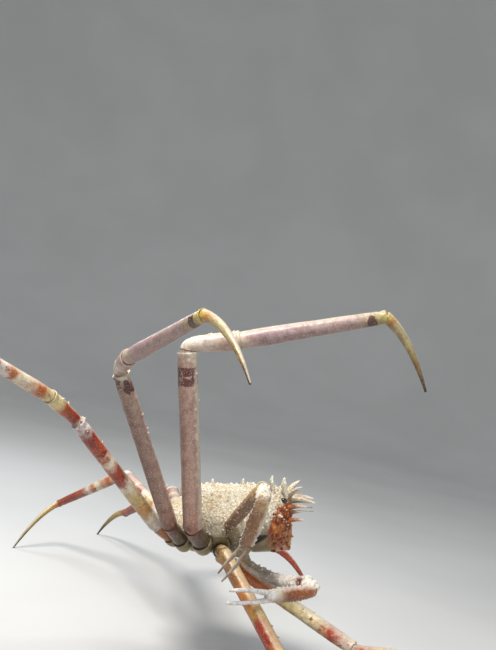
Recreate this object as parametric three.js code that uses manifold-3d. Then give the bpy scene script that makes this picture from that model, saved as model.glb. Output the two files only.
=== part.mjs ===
// Japanese spider crab, a still life-size model. Millimetres, +X forward, +Y to its left, +Z up.
// The floor is z = 0. Three right legs are held in the air, five legs stand on the floor.
import * as THREE from "three";
import { mergeVertices } from "three/addons/utils/BufferGeometryUtils.js";
import Module from "manifold-3d";

const wasm = await Module();
wasm.setup();

// Sizes of the body
const SHELL_LENGTH = 300;
const SHELL_HALF_WIDTH = 128;
const SHELL_TOP = 78;
const SHELL_BOTTOM = -66;
const WIDEST_LEVEL = 0.56;
const SHELL_SPLIT = -14;
const BODY_HEIGHT = 320;
const NOSE_UP = 12;

// The gap that neighbouring pieces keep
const GAP = 0.3;

// Sides of a limb tube and of the body
const LIMB_SIDES = 10;
const BODY_SIDES = 32;
const BODY_RINGS = 22;

// Lengths of the pieces of each limb, from the body outwards
const LENGTHS = {
  cheliped: { ischium: 84, merus: 205, carpus: 45, propodus: 122, dactylus: 94 },
  leg2: { ischium: 56, merus: 378, carpus: 110, propodus: 310, dactylus: 170 },
  leg3: { ischium: 74, merus: 375, carpus: 114, propodus: 312, dactylus: 182 },
  leg4: { ischium: 73, merus: 355, carpus: 108, propodus: 295, dactylus: 190 },
  leg5: { ischium: 74, merus: 320, carpus: 100, propodus: 270, dactylus: 184 },
};

// Half thickness of the upper leg of each limb
const MERUS_RADIUS = { cheliped: 13.5, leg2: 16.5, leg3: 21, leg4: 17.5, leg5: 15.5 };

// Where each leg leaves the body: along it, half way across, and up, in the body's own frame
const HIPS = {
  cheliped: [28, 86, -44],
  leg2: [-8, 98, -48],
  leg3: [-48, 126, -26],
  leg4: [-92, 116, -24],
  leg5: [-118, 86, -22],
};

// The pose: direction of each piece as [turn from straight ahead towards the left, rise], in degrees.
// A piece with no rise is the last of a standing leg, which drops to the floor.
const POSE = {
  cheliped_R: [[-115, 42], [-74, 35], [-84, -24], [108, -66], [130, -54]],
  leg2_R: [[-81, 6], [-47, -34], [-66, 8], [-88, -4], [-96]],
  leg3_R: [[-114, 32], [-165, 76], [1, 24.5], [1.5, 21], [9, -49]],
  leg4_R: [[-121, 33], [-147, 58], [-79, 23], [-60, 22], [-53, -29]],
  leg5_R: [[-125, 26], [-138.5, 39], [-127.5, 28], [-135, 20], [150, -50]],
  cheliped_L: [[-62, -40], [-50, 5.5], [-74, -10], [-142, -5], [-140, 0]],
  leg2_L: [[10, -84], [-23, -17], [-4, 2], [12, -4], [20]],
  leg3_L: [[100, 0], [99, -4.5], [60, -5.5], [34, -24.5], [11]],
  leg4_L: [[110, 0], [97, -2], [104, -12], [116, -26], [124]],
  leg5_L: [[120, 0], [114, 4.5], [109, -13], [137, -31], [221]],
};

// How far a piece bows, as a share of its length
const DACTYLUS_BOW = 0.11;

// Half width of a tip, and how far a foot's tip is run on before the floor cuts it flat
const TIP_RADIUS = 2.4;
const FOOT_RUN_ON = 7;

const SHELL_COLOUR = 0xe2cfae;
const UNDERSIDE_COLOUR = 0xb9b493;
const LIMB_COLOUR = 0xd9b7a8;
const RED_LIMB_COLOUR = 0xc4683c;
const CLAW_COLOUR = 0xd8c8b4;
const TIP_COLOUR = 0xc7ad74;
const EYE_COLOUR = 0x241a16;

const crab = new THREE.Group();

// The place of the body's own frame: nose up, at its height over the floor
const BODY_PLACE = new THREE.Matrix4()
  .makeRotationY(THREE.MathUtils.degToRad(-NOSE_UP))
  .setPosition(0, 0, BODY_HEIGHT);

function direction([turn, rise]) {
  const t = THREE.MathUtils.degToRad(turn);
  const r = THREE.MathUtils.degToRad(rise);
  return new THREE.Vector3(Math.cos(r) * Math.cos(t), Math.cos(r) * Math.sin(t), Math.sin(r));
}

// A closed skin over rings of points, each ring with the same number of points
function skin(rings) {
  const sides = rings[0].length;
  const points = rings.flat();
  const faces = [];
  for (let i = 0; i + 1 < rings.length; i++)
    for (let j = 0; j < sides; j++) {
      const a = i * sides + j;
      const b = i * sides + ((j + 1) % sides);
      faces.push(a, b, a + sides, b, b + sides, a + sides);
    }
  for (const [ring, forward] of [[0, false], [rings.length - 1, true]]) {
    const middle = new THREE.Vector3();
    rings[ring].forEach((p) => middle.add(p));
    points.push(middle.divideScalar(sides));
    for (let j = 0; j < sides; j++) {
      const a = ring * sides + j;
      const b = ring * sides + ((j + 1) % sides);
      faces.push(points.length - 1, ...(forward ? [a, b] : [b, a]));
    }
  }
  const geometry = new THREE.BufferGeometry().setFromPoints(points);
  geometry.setIndex(faces);
  return geometry;
}

// A geometry as a solid that can be joined and cut
function solid(geometry) {
  const bare = geometry.clone();
  bare.deleteAttribute("normal");
  bare.deleteAttribute("uv");
  const merged = mergeVertices(bare, 1e-3);
  return new wasm.Manifold(
    new wasm.Mesh({
      numProp: 3,
      vertProperties: merged.attributes.position.array,
      triVerts: new Uint32Array(merged.index.array),
    }),
  );
}

// The largest closed surface of a solid, as a geometry
function geometryOf(body) {
  const pieces = body.decompose();
  const largest = pieces.reduce((a, b) => (b.volume() > a.volume() ? b : a));
  const mesh = largest.getMesh();
  const geometry = new THREE.BufferGeometry();
  geometry.setAttribute("position", new THREE.BufferAttribute(mesh.vertProperties, 3));
  geometry.setIndex(new THREE.BufferAttribute(mesh.triVerts, 1));
  return geometry;
}

function addNode(name, body, colour, roughness = 0.6) {
  const geometry = geometryOf(body).toNonIndexed();
  geometry.computeVertexNormals();
  const mesh = new THREE.Mesh(
    geometry,
    new THREE.MeshStandardMaterial({ color: colour, roughness, metalness: 0 }),
  );
  mesh.name = name;
  crab.add(mesh);
}

// Rings along a smooth path, each square to it, with the radii given by a function of the share
// of the way. The end rings may be slid along the path onto a plane.
function tube(path, radius, { rings = 6, sides = LIMB_SIDES, flat = 1, ends = [] } = {}) {
  const made = [];
  const up = new THREE.Vector3(0, 0, 1);
  const ahead = path.getTangent(0.5);
  if (Math.abs(ahead.z) > 0.9) up.set(1, 0, 0);
  for (let i = 0; i < rings; i++) {
    const t = i / (rings - 1);
    const centre = path.getPoint(t);
    const along = path.getTangent(t);
    const across = new THREE.Vector3().crossVectors(up, along).normalize();
    const over = new THREE.Vector3().crossVectors(along, across);
    const plane = ends[i === 0 ? 0 : i === rings - 1 ? 1 : 2];
    const ring = [];
    for (let j = 0; j < sides; j++) {
      const a = (2 * Math.PI * (j + 0.5)) / sides;
      const p = centre
        .clone()
        .addScaledVector(across, Math.cos(a) * radius(t) * flat)
        .addScaledVector(over, Math.sin(a) * radius(t));
      if (plane) p.addScaledVector(along, -plane.distanceToPoint(p) / plane.normal.dot(along));
      ring.push(p);
    }
    made.push(ring);
  }
  return solid(skin(made));
}

// A straight or bowed path from one point to another, run on past its end
function pathTo(from, to, bow = 0, runOn = 0) {
  const middle = from.clone().lerp(to, 0.5);
  middle.z += 2 * bow * from.distanceTo(to);
  const onward = to.clone().sub(middle).normalize();
  return new THREE.QuadraticBezierCurve3(from, middle, to.clone().addScaledVector(onward, runOn));
}

// The value at t on a smooth line through values set at equal steps
function profile(values) {
  const line = new THREE.SplineCurve(values.map((v, i) => new THREE.Vector2(i, v)));
  return (t) => line.getPoint(t).y;
}

// Outline of the body, by the share s of its half length from the middle
function halfWidth(s) {
  const rear = s < 0 ? Math.sqrt(1 - Math.pow(-s, 2.6)) : 1;
  const front = s > 0 ? Math.sqrt(1 - Math.pow(s, 7)) * (1 - 0.42 * s * s) : 1;
  return SHELL_HALF_WIDTH * rear * front;
}
function rearFall(s) {
  const back = Math.max(0, (-s - 0.35) / 0.65);
  return Math.cos((Math.PI / 2) * back);
}
const topLine = (s) => SHELL_TOP * rearFall(s) * (s > 0.8 ? 1 - 2.6 * (s - 0.8) ** 2 : 1);
const bottomLine = (s) => SHELL_BOTTOM * Math.pow(rearFall(s), 0.8) - 4;

// How square the body's sides and its crown and base are, as powers under 1
const EDGE_POWER = 0.88;
const DOME_POWER = 0.92;

// A point on the body in its own frame, by the share s along it and the angle round it
function bodySurface(s, angle) {
  const top = topLine(s);
  const bottom = bottomLine(s);
  const middle = bottom + (top - bottom) * WIDEST_LEVEL;
  const c = Math.cos(angle);
  const n = Math.sin(angle);
  const y = Math.sign(c) * Math.pow(Math.abs(c), EDGE_POWER) * halfWidth(s);
  const reach = n > 0 ? top - middle : bottom - middle;
  return new THREE.Vector3((s * SHELL_LENGTH) / 2, y, middle + reach * Math.pow(Math.abs(n), DOME_POWER));
}

// The whole body in its own frame, shell and underside together
function bodyRings() {
  const rings = [];
  for (let i = 0; i <= BODY_RINGS; i++) {
    const s = -0.995 * Math.cos((Math.PI * i) / BODY_RINGS);
    const ring = [];
    for (let j = 0; j < BODY_SIDES; j++) ring.push(bodySurface(s, (2 * Math.PI * (j + 0.5)) / BODY_SIDES));
    rings.push(ring);
  }
  return rings;
}

// Where the limbs' joints are, and the planes between their pieces
function limbJoints(kind, side) {
  const [x, y, z] = HIPS[kind];
  const sign = side === "L" ? 1 : -1;
  const lengths = Object.values(LENGTHS[kind]);
  const points = [new THREE.Vector3(x, sign * y, z).applyMatrix4(BODY_PLACE)];
  const ways = POSE[kind + "_" + side].map((way, i) => {
    const rise = way[1] ?? THREE.MathUtils.radToDeg(Math.asin(-points[i].z / lengths[i]));
    const along = direction([way[0], rise]);
    points.push(points[i].clone().addScaledVector(along, lengths[i]));
    return along;
  });
  const planes = points.map((p, i) => {
    const before = ways[Math.max(0, i - 1)];
    const after = ways[Math.min(ways.length - 1, i)];
    const normal = before.clone().add(after).normalize();
    return new THREE.Plane().setFromNormalAndCoplanarPoint(normal, p);
  });
  return { points, ways, planes };
}

// A joint's plane moved half the gap towards the piece that it ends
function ended(plane, way) {
  return new THREE.Plane(plane.normal, plane.constant - (way * GAP) / 2);
}

// Radii of the pieces of a walking leg, as shares of its upper leg
const LEG_RADII = {
  ischium: profile([0.86, 0.9, 1, 0.98]),
  merus: profile([0.86, 0.98, 1, 1, 1, 1.02, 0.9]),
  carpus: profile([0.66, 0.74, 0.88, 0.98, 0.9]),
  propodus: profile([0.84, 0.92, 0.88, 0.83, 0.79, 0.74, 0.68]),
  dactylus: profile([0.6, 0.54, 0.46, 0.37, 0.26, 0.13]),
};
const LEG_RINGS = { ischium: 4, merus: 7, carpus: 5, propodus: 6, dactylus: 7 };

function legPiece(kind, joints, piece, index) {
  const { points, planes } = joints;
  const radius = MERUS_RADIUS[kind];
  const share = LEG_RADII[piece];
  const last = piece === "dactylus";
  const standing = last && points[index + 1].z < 1;
  const bow = last ? DACTYLUS_BOW : 0;
  const path = pathTo(points[index], points[index + 1], bow, standing ? FOOT_RUN_ON : 0);
  const made = tube(path, (t) => Math.max(TIP_RADIUS, radius * share(t)), {
    rings: LEG_RINGS[piece],
    ends: [ended(planes[index], 1), last ? null : ended(planes[index + 1], -1)],
  });
  return standing ? made.trimByPlane([0, 0, 1], 0) : made;
}

function addLeg(kind, side) {
  const joints = limbJoints(kind, side);
  Object.keys(LENGTHS[kind]).forEach((piece, index) => {
    const made = legPiece(kind, joints, piece, index);
    const colour = piece === "dactylus" ? TIP_COLOUR : kind === "leg3" ? LIMB_COLOUR : RED_LIMB_COLOUR;
    addNode(kind + "_" + side + "_" + piece, made, colour);
  });
}

// The claws: a slim arm, and a hand of a palm with a fixed finger and a moving one
const CLAW_RADII = {
  ischium: profile([1, 1, 1.02, 0.94]),
  merus: profile([0.86, 0.94, 0.98, 1, 1.02, 0.9]),
  carpus: profile([0.9, 1.04, 1.06, 0.92]),
  palm: profile([0.8, 0.96, 1, 0.98, 0.86]),
};
// How far each claw's arm bows up, as a share of its length
const ARM_BOW = { R: 0, L: -0.075 };
const FINGER_RADIUS = 6.2;
const FINGER_SPREAD = { R: 2, L: 3.5 };
const FINGER_OFFSET = 6.6;
const FINGER_SINK = 14;

function addCheliped(side) {
  const kind = "cheliped";
  const joints = limbJoints(kind, side);
  const { points, ways, planes } = joints;
  const radius = MERUS_RADIUS[kind];
  ["ischium", "merus", "carpus"].forEach((piece, index) => {
    const bow = piece === "merus" ? ARM_BOW[side] : 0;
    const path = pathTo(points[index], points[index + 1], bow);
    const made = tube(path, (t) => radius * CLAW_RADII[piece](t), {
      rings: piece === "merus" ? 7 : 4,
      ends: [ended(planes[index], 1), ended(planes[index + 1], -1)],
    });
    addNode(kind + "_" + side + "_" + piece, made, CLAW_COLOUR);
  });
  const grip = ways[4];
  const across = new THREE.Vector3(0, 0, 1).cross(grip).normalize();
  const over = new THREE.Vector3().crossVectors(grip, across);
  const palm = tube(pathTo(points[3], points[4]), (t) => radius * CLAW_RADII.palm(t), {
    rings: 6,
    flat: 0.8,
    ends: [ended(planes[3], 1), null],
  });
  const length = LENGTHS[kind].dactylus;
  const finger = (up, grow, sink) => {
    const spread = THREE.MathUtils.degToRad(FINGER_SPREAD[side]) * up;
    const way = grip.clone().addScaledVector(over, Math.tan(spread)).normalize();
    const root = points[4].clone().addScaledVector(over, up * FINGER_OFFSET).addScaledVector(grip, -sink);
    const tip = points[4].clone().addScaledVector(over, up * FINGER_OFFSET).addScaledVector(way, length);
    const middle = root.clone().lerp(tip, 0.55).addScaledVector(over, up * length * 0.05);
    const path = new THREE.QuadraticBezierCurve3(root, middle, tip);
    return tube(path, (t) => Math.max(1.2, FINGER_RADIUS * (1 - 0.72 * t)) + grow, { rings: 7, sides: 8 });
  };
  const moving = finger(1, 0, 4);
  const fixed = finger(-1, 0, FINGER_SINK);
  const hollow = finger(1, GAP * 1.3, 4 + GAP * 1.3);
  addNode(kind + "_" + side + "_propodus", palm.add(fixed).subtract(hollow), CLAW_COLOUR);
  addNode(kind + "_" + side + "_dactylus", moving, TIP_COLOUR);
}

// A short blunt stub of the underside that carries a limb
function hipStub(kind, side) {
  const { points, ways, planes } = limbJoints(kind, side);
  const radius = MERUS_RADIUS[kind] * 0.9;
  const [x, y, z] = HIPS[kind];
  const inner = new THREE.Vector3(x, (side === "L" ? 1 : -1) * (y - 62), z + 4).applyMatrix4(BODY_PLACE);
  const start = points[0].clone().addScaledVector(ways[0], -14);
  const path = new THREE.CatmullRomCurve3([inner, start, points[0]]);
  return tube(path, () => radius, { rings: 6, ends: [null, ended(planes[0], -1)] });
}

// The space that a limb's first pieces need, which the body is cut clear of
function limbRoom(kind, side) {
  const { points, ways } = limbJoints(kind, side);
  const radius = MERUS_RADIUS[kind] * 1.06 + GAP;
  const first = new THREE.Plane().setFromNormalAndCoplanarPoint(ways[0], points[0]);
  const ischium = tube(pathTo(points[0], points[1]), () => radius, { rings: 2, ends: [ended(first, -1), null] });
  const merus = tube(pathTo(points[1], points[2]), () => radius, { rings: 2 });
  return ischium.add(merus);
}

const SIDES = ["R", "L"];
const KINDS = Object.keys(LENGTHS);

// A lens-shaped or plate-shaped body along a path in the body's own frame
function bodyPiece(from, to, radius, options) {
  const a = new THREE.Vector3(...from).applyMatrix4(BODY_PLACE);
  const b = new THREE.Vector3(...to).applyMatrix4(BODY_PLACE);
  return tube(pathTo(a, b), radius, options);
}

const dome = (t) => Math.sqrt(Math.max(0.02, 1 - (2 * t - 1) ** 2));

// Eyes on short stalks under the brow
const EYE_RADIUS = 7;
function eye(side, grow = 0) {
  const y = side === "L" ? 1 : -1;
  const swell = profile([0.62, 0.6, 0.72, 1, 1, 0.8, 0.3]);
  const radius = (t) => EYE_RADIUS * swell(t) + grow;
  return bodyPiece([118, y * 40, 50], [141, y * 51, 53], radius, { rings: 8, sides: 10 });
}

// Feelers beside the snout
function antenna(side, grow = 0) {
  const y = side === "L" ? 1 : -1;
  const radius = (t) => 4.6 * (1 - 0.8 * Math.min(1, t * 2.2)) + grow;
  return bodyPiece([128, y * 19, 26], [203, y * 25, 25], radius, { rings: 8, sides: 8 });
}

// Mouth plates that close the lower face
function maxilliped(side, grow = 0) {
  const y = side === "L" ? 1 : -1;
  const radius = (t) => 13 * dome(0.1 + 0.8 * t) + grow;
  return bodyPiece([137, y * 15.5, 14 + grow], [131, y * 15.5, -62 - grow], radius, { rings: 7, sides: 10 });
}

// The tail flap, folded flat under the body
function abdomen(grow = 0) {
  const radius = (t) => 8 * dome(0.06 + 0.88 * t) + grow;
  return bodyPiece([-112 - grow, 0, -46], [8 + grow, 0, -68], radius, { rings: 9, sides: 12, flat: 3.6 });
}

// The two horns of the snout, the spines round the eyes and the larger spines of the shell's edge,
// for one side, as [root, tip, root radius]
const SIDE_SPINES = [
  [[138, 13, 47], [207, 29, 44], 8],
  [[137, 30, 58], [139, 36, 93], 8.5],
  [[144, 25, 58], [175, 50, 84], 6.5],
  [[142, 34, 34], [186, 52, 39], 6],
  [[142, 40, 6], [181, 56, 9], 5.5],
  [[108, 38, 68], [111, 46, 96], 6.5],
  [[112, 62, 20], [130, 92, 24], 6],
  [[76, 92, 20], [88, 122, 28], 6.5],
  [[36, 112, 22], [40, 140, 34], 6.5],
];
const MIDDLE_SPINES = [-96, -30, 40];
const HORNS = MIDDLE_SPINES.map((x) => [[x, 0, 58], [x + 3, 0, 96], 8]);
for (const y of [1, -1])
  for (const [root, tip, radius] of SIDE_SPINES)
    HORNS.push([[root[0], y * root[1], root[2]], [tip[0], y * tip[1], tip[2]], radius]);

function horn([root, tip, radius]) {
  return bodyPiece(root, tip, (t) => radius * (1 - 0.86 * t), { rings: 3, sides: 6 });
}

// Blunt knobs scattered over the shell, no two close together, drawn the same each time
const KNOB_COUNT = 98;
const KNOB_SPACING = 15;
const KNOB_SINK = 6;
let draw = 11;
function chance(low, high) {
  draw = (draw * 16807) % 2147483647;
  return low + ((high - low) * draw) / 2147483647;
}

function scatterKnobs() {
  const taken = HORNS.map(([root]) => new THREE.Vector3(...root));
  const knobs = [];
  while (knobs.length < KNOB_COUNT) {
    const s = chance(-0.84, 0.84);
    const angle = chance(0.12, Math.PI - 0.12);
    const root = bodySurface(s, angle);
    if (taken.some((p) => p.distanceTo(root) < KNOB_SPACING)) continue;
    taken.push(root);
    const along = bodySurface(s + 0.01, angle).sub(root);
    const around = bodySurface(s, angle + 0.02).sub(root);
    const out = around.cross(along).normalize();
    const size = chance(3.2, 5.2);
    const tip = root.clone().addScaledVector(out, size * 1.5);
    knobs.push([root.addScaledVector(out, -KNOB_SINK).toArray(), tip.toArray(), size * 1.25]);
  }
  return knobs;
}

function knob([root, tip, radius]) {
  return bodyPiece(root, tip, (t) => radius * (1 - 0.72 * t), { rings: 2, sides: 5 });
}

const whole = solid(skin(bodyRings())).transform(BODY_PLACE.elements);
const bodyUp = new THREE.Vector3(0, 0, 1).transformDirection(BODY_PLACE);
const splitPoint = new THREE.Vector3(0, 0, SHELL_SPLIT).applyMatrix4(BODY_PLACE);
const splitHeight = splitPoint.dot(bodyUp);

let shell = whole.trimByPlane(bodyUp.toArray(), splitHeight + GAP / 2);
let underside = whole.trimByPlane(bodyUp.clone().negate().toArray(), GAP / 2 - splitHeight);
const stubs = [];
const rooms = [];
for (const kind of KINDS)
  for (const side of SIDES) {
    stubs.push(hipStub(kind, side));
    rooms.push(limbRoom(kind, side));
  }
const sockets = [abdomen(GAP)];
for (const side of SIDES) sockets.push(eye(side, GAP), antenna(side, GAP), maxilliped(side, GAP));

for (const spine of HORNS) shell = shell.add(horn(spine));
for (const each of scatterKnobs()) shell = shell.add(knob(each));
for (const room of rooms.concat(sockets)) shell = shell.subtract(room);
for (const stub of stubs) {
  underside = underside.add(stub.trimByPlane(bodyUp.clone().negate().toArray(), GAP / 2 - splitHeight));
}
for (const room of rooms.concat(sockets)) underside = underside.subtract(room);

addNode("carapace", shell, SHELL_COLOUR, 0.75);
addNode("thorax", underside, UNDERSIDE_COLOUR, 0.5);
addNode("abdomen", abdomen(), UNDERSIDE_COLOUR, 0.5);
for (const side of SIDES) {
  addNode("eye_" + side, eye(side), EYE_COLOUR, 0.15);
  addNode("antenna_" + side, antenna(side), TIP_COLOUR);
  addNode("maxilliped_" + side, maxilliped(side), RED_LIMB_COLOUR);
  addCheliped(side);
  for (const kind of KINDS.slice(1)) addLeg(kind, side);
}

// The origin is on the floor, at the middle of the ground that the model covers
const extent = new THREE.Box3().setFromObject(crab);
const middle = extent.getCenter(new THREE.Vector3());
crab.position.set(-middle.x, -middle.y, 0);

export default crab;
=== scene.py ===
# Japanese spider crab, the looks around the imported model. Metres, +X forward, +Y to its left, +Z up.
import math

import bpy
import numpy as np
from mathutils import Matrix, Vector, noise


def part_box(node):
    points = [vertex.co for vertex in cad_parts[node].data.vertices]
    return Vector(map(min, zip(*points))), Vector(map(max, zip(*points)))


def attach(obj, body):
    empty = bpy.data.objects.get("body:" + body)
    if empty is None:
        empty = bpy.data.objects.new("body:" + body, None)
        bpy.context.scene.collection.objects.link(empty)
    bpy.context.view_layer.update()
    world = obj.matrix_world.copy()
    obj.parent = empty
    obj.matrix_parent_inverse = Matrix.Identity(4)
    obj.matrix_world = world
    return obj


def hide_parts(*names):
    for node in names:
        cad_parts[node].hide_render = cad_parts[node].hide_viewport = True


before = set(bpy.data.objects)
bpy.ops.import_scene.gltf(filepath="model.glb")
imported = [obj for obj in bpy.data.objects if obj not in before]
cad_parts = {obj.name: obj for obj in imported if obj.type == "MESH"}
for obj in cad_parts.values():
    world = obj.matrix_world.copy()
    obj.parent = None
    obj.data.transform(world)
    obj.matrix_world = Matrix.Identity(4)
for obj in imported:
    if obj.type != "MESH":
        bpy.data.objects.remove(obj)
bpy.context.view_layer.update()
RNG = np.random.default_rng(11)

# Sizes of the body, as in the solids
SHELL_HALF_LENGTH = 0.150
SHELL_HALF_WIDTH = 0.128
SHELL_TOP = 0.078
SHELL_BOTTOM = -0.066
WIDEST_LEVEL = 0.56
SHELL_SPLIT = -0.014
BODY_HEIGHT = 0.320
NOSE_UP = math.radians(12)
SIGNS = {"R": -1, "L": 1}

LENGTHS = {
    "cheliped": (0.084, 0.205, 0.045, 0.122, 0.094),
    "leg2": (0.056, 0.378, 0.110, 0.310, 0.170),
    "leg3": (0.074, 0.375, 0.114, 0.312, 0.182),
    "leg4": (0.073, 0.355, 0.108, 0.295, 0.190),
    "leg5": (0.074, 0.320, 0.100, 0.270, 0.184),
}
PIECES = ("ischium", "merus", "carpus", "propodus", "dactylus")
MERUS_RADIUS = {"cheliped": 0.0135, "leg2": 0.0165, "leg3": 0.021, "leg4": 0.0175, "leg5": 0.0155}
HIPS = {
    "cheliped": (0.028, 0.086, -0.044),
    "leg2": (-0.008, 0.098, -0.048),
    "leg3": (-0.048, 0.126, -0.026),
    "leg4": (-0.092, 0.116, -0.024),
    "leg5": (-0.118, 0.086, -0.022),
}

# The pose: turn from straight ahead towards the left, and rise. No rise means down to the floor.
POSE = {
    "cheliped_R": ((-115, 42), (-74, 35), (-84, -24), (108, -66), (130, -54)),
    "leg2_R": ((-81, 6), (-47, -34), (-66, 8), (-88, -4), (-96,)),
    "leg3_R": ((-114, 32), (-165, 76), (1, 24.5), (1.5, 21), (9, -49)),
    "leg4_R": ((-121, 33), (-147, 58), (-79, 23), (-60, 22), (-53, -29)),
    "leg5_R": ((-125, 26), (-138.5, 39), (-127.5, 28), (-135, 20), (150, -50)),
    "cheliped_L": ((-62, -40), (-50, 5.5), (-74, -10), (-142, -5), (-140, 0)),
    "leg2_L": ((10, -84), (-23, -17), (-4, 2), (12, -4), (20,)),
    "leg3_L": ((100, 0), (99, -4.5), (60, -5.5), (34, -24.5), (11,)),
    "leg4_L": ((110, 0), (97, -2), (104, -12), (116, -26), (124,)),
    "leg5_L": ((120, 0), (114, 4.5), (109, -13), (137, -31), (221,)),
}
DACTYLUS_BOW = 0.11
TIP_RADIUS = 0.0024


def body_point(x, y, z):
    """A point given in the body's own level frame, in the frame of the whole crab before its shift."""
    c, s = math.cos(NOSE_UP), math.sin(NOSE_UP)
    return Vector((x * c - z * s, y, x * s + z * c + BODY_HEIGHT))


def direction(turn, rise):
    t, r = math.radians(turn), math.radians(rise)
    return Vector((math.cos(r) * math.cos(t), math.cos(r) * math.sin(t), math.sin(r)))


def limb_joints(kind, side):
    x, y, z = HIPS[kind]
    points = [body_point(x, SIGNS[side] * y, z)]
    ways = []
    for length, way in zip(LENGTHS[kind], POSE[kind + "_" + side]):
        drop = way[1] if len(way) > 1 else math.degrees(math.asin(-points[-1].z / length))
        ways.append(direction(way[0], drop))
        points.append(points[-1] + ways[-1] * length)
    return points, ways


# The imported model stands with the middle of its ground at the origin. The tail flap lies along
# the body's middle line, and its own middle is this far along from under the body's centre.
FLAP_MIDDLE_X = -0.0390


def packed_shift():
    low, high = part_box("abdomen")
    return Vector(((low.x + high.x) / 2 - FLAP_MIDDLE_X, (low.y + high.y) / 2, 0))


SHIFT = packed_shift()


# Smooth values and noise

def unit(vectors):
    return vectors / np.linalg.norm(vectors, axis=-1)[..., None]


def spline(values):
    """A smooth line through values set at equal steps, read at t from 0 to 1."""
    values = np.asarray(values, float)
    last = len(values) - 1

    def at(t):
        x = np.clip(np.asarray(t, float), 0, 1) * last
        i = np.minimum(x.astype(int), last - 1)
        f = x - i
        before, after = values[np.maximum(i - 1, 0)], values[np.minimum(i + 2, last)]
        a, b = values[i], values[i + 1]
        square = 2 * before - 5 * a + 4 * b - after
        cube = 3 * (a - b) + after - before
        return a + 0.5 * f * (b - before + f * (square + f * cube))

    return at


def shares_along(shares, path):
    """Shares set at equal steps along a path, for each of its points."""
    return spline(shares)(np.linspace(0, 1, len(path)))


def rough(points, scale, seed=0.0):
    """Smooth noise from about -1 to 1 at each of the points."""
    offset = Vector((seed, 2.3 * seed, -1.7 * seed))
    return np.array([noise.noise(Vector(p) * scale + offset) for p in points])


def hump(x, middle, width):
    return np.exp(-(((x - middle) / width) ** 2))


def add_object(name, data):
    made = bpy.data.objects.new(name, data)
    bpy.context.scene.collection.objects.link(made)
    return made


# Skins: vertices, faces and the values that the materials read at each vertex

class Skin:
    def __init__(self):
        self.points, self.faces, self.values = [], [], []
        self.count = 0

    def add(self, points, faces, along=0.0, over=0.0, tint=0.0):
        points = np.asarray(points, float)
        values = np.zeros((len(points), 3))
        values[:, 0], values[:, 1], values[:, 2] = along, over, tint
        self.points.append(points)
        self.values.append(values)
        self.faces += [[k + self.count for k in face] for face in faces]
        self.count += len(points)

    def build(self, name, material):
        mesh = bpy.data.meshes.new(name)
        points = np.concatenate(self.points) + np.array(SHIFT)
        mesh.from_pydata(points.tolist(), [], self.faces)
        for column, label in enumerate(("along", "over", "tint")):
            layer = mesh.attributes.new(label, "FLOAT", "POINT")
            layer.data.foreach_set("value", np.concatenate(self.values)[:, column].astype(np.float32))
        mesh.validate()
        mesh.polygons.foreach_set("use_smooth", [True] * len(mesh.polygons))
        mesh.materials.append(material)
        return add_object(name, mesh)


def tube_faces(rings, sides):
    """Quads between rings of points."""
    faces = []
    for i in range(rings - 1):
        for j in range(sides):
            a, b = i * sides + j, i * sides + (j + 1) % sides
            faces.append((a, b, b + sides, a + sides))
    return faces


def grid_faces(rings, sides):
    """A tube's quads, and a fan of triangles round a middle point at each end."""
    faces = tube_faces(rings, sides)
    start, end = rings * sides, rings * sides + 1
    base = (rings - 1) * sides
    for j in range(sides):
        faces.append((start, (j + 1) % sides, j))
        faces.append((end, base + j, base + (j + 1) % sides))
    return faces


def close_grid(grid):
    """The points of a grid, with the middle of its first ring and of its last."""
    return np.concatenate([grid.reshape(-1, 3), [grid[0].mean(0)], [grid[-1].mean(0)]])


def frames_along(points):
    """Unit vectors along, across and over at each of the points on a path."""
    along = unit(np.gradient(points, axis=0))
    up = np.array((1.0, 0, 0)) if abs(along[len(along) // 2][2]) > 0.9 else np.array((0, 0, 1.0))
    across = unit(np.cross(up, along))
    return along, across, np.cross(along, across)


FINE_STEPS = 400


def smooth_path(knots, count):
    """Points at even distances along a smooth curve through the knots."""
    knots = np.array([tuple(k) for k in knots])
    t = np.linspace(0, 1, FINE_STEPS)
    fine = np.stack([spline(knots[:, k])(t) for k in range(3)], 1)
    run = np.concatenate([[0], np.cumsum(np.linalg.norm(np.diff(fine, axis=0), axis=1))])
    even = np.linspace(0, run[-1], count)
    return np.stack([np.interp(even, run, fine[:, k]) for k in range(3)], 1)


# Small domes and cones set on a surface

def cone_shape(sides, steps, top=1):
    """Points and faces of rings round an axis, each with its height and radius, and of a tip at the top."""
    points = []
    for height, radius in steps:
        for j in range(sides):
            a = 2 * math.pi * j / sides
            points.append((radius * math.cos(a), radius * math.sin(a), height))
    points.append((0, 0, top))
    faces = tube_faces(len(steps), sides)
    tip = len(steps) * sides
    for j in range(sides):
        faces.append((tip - sides + j, tip - sides + (j + 1) % sides, tip))
    return np.array(points), faces


# A low round knob and a tall spine
GRANULE = cone_shape(7, ((-0.6, 1.0), (0.1, 0.86), (0.62, 0.55), (0.92, 0.24)))
SPINE = cone_shape(9, ((-0.16, 1.1), (0.0, 0.95), (0.18, 0.74), (0.5, 0.48), (0.8, 0.24), (0.95, 0.1)))


def set_cones(skin, shape, bases, ways, radii, heights, along=0.0, over=0.0, tint=None):
    """Copies of a cone shape, with their bases on a surface, pointing along the ways. The tint goes from
    their root to their tip where none is given."""
    points, faces = shape
    along, over = (np.broadcast_to(given, len(bases)) for given in (along, over))
    mark = points[:, 2].clip(0, 1) if tint is None else tint
    for base, way, radius, height, place, side in zip(bases, ways, radii, heights, along, over):
        turn = Vector(way).normalized().to_track_quat("Z", "Y").to_matrix()
        placed = points * (radius, radius, height) @ np.array(turn).T + np.array(base)
        skin.add(placed, faces, place, side, mark)


# Materials

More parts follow.
